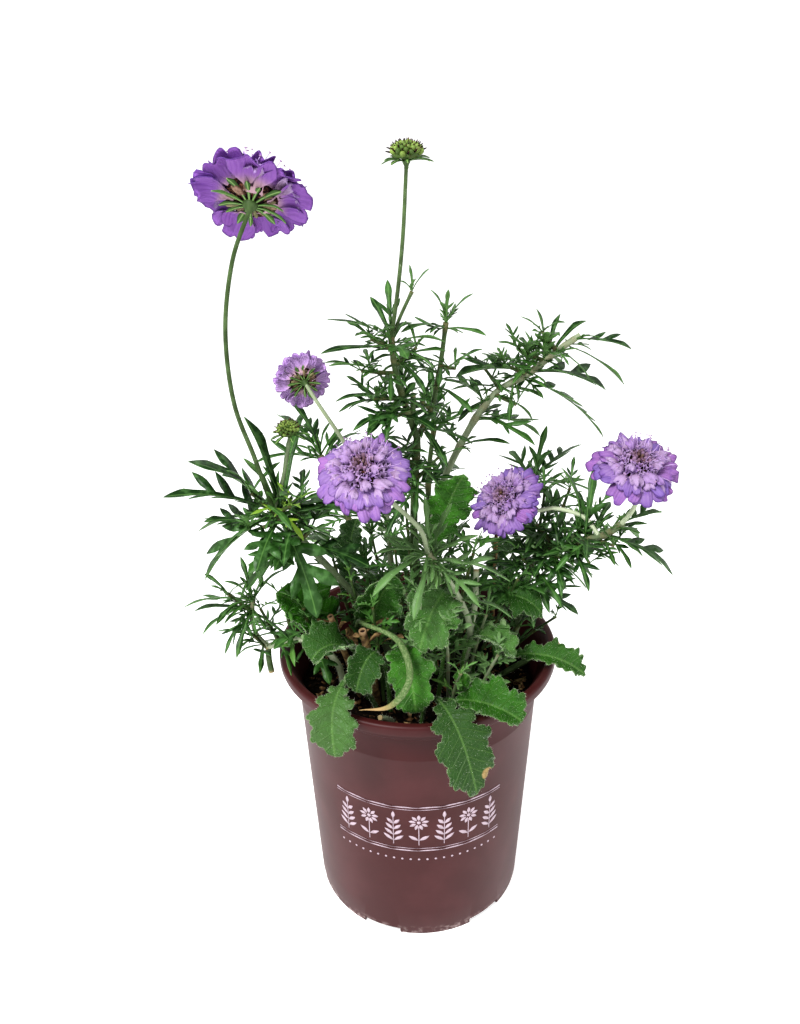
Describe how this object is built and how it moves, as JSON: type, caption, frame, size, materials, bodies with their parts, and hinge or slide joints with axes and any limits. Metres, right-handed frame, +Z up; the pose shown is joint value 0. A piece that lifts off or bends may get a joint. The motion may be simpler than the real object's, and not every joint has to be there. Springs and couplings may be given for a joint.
{
  "type": "potted butterfly blue scabious",
  "caption": "Bushy flowering perennial with lavender pincushion blooms, buds and finely cut leaves, growing in a round tapered nursery pot of plain plastic.",
  "frame": {"origin": "centre of the pot's flat base, on the surface that it stands on", "axes": "+Z up along the pot's axis, -Y towards the front of the plant, +X to its right as seen from the front"},
  "size_m": [0.2678, 0.2116, 0.4626],
  "materials": {
    "pot_plastic": "satin moulded",
    "potting_soil": "rough bark compost",
    "stem_and_leaf": "matt, finely hairy",
    "basal_leaf": "matt, finely hairy",
    "petals": "matt, papery",
    "flower_buds": "matt",
    "dry_stem": "dry, fibrous"
  },
  "bodies": {
    "root": {"pot": "pot_plastic", "soil": "potting_soil", "left_stem": "stem_and_leaf", "centre_stem": "stem_and_leaf", "woody_stem": "stem_and_leaf", "right_stem": "stem_and_leaf", "front_stem": "stem_and_leaf", "small_bloom_stem": "stem_and_leaf", "rim_shoot": "stem_and_leaf", "back_left_stem": "stem_and_leaf", "back_stem": "stem_and_leaf", "back_right_stem": "stem_and_leaf", "cut_stem_right": "stem_and_leaf", "cut_stem_front": "stem_and_leaf", "dry_stem": "dry_stem", "leaf_over_front_left": "basal_leaf", "leaf_left_curled": "basal_leaf", "leaf_left_low": "basal_leaf", "leaf_front_toothed": "basal_leaf", "leaf_dark_broad": "basal_leaf", "leaf_bright_left": "basal_leaf", "leaf_upright_crenate": "basal_leaf", "leaf_front_lobed": "basal_leaf", "leaf_round_front": "basal_leaf", "leaf_over_front": "basal_leaf", "leaf_over_right": "basal_leaf", "leaf_bright_upright": "basal_leaf", "leaf_rim_right": "basal_leaf", "leaf_right_low": "basal_leaf", "leaf_small_front": "basal_leaf", "leaf_back_left": "basal_leaf", "leaf_back_middle": "basal_leaf", "leaf_back_right": "basal_leaf", "bloom_tall": "petals", "bloom_front": "petals", "bloom_middle": "petals", "bloom_right": "petals", "bloom_small": "petals", "bud_tall": "flower_buds", "bud_small": "flower_buds"}
  },
  "joints": []
}
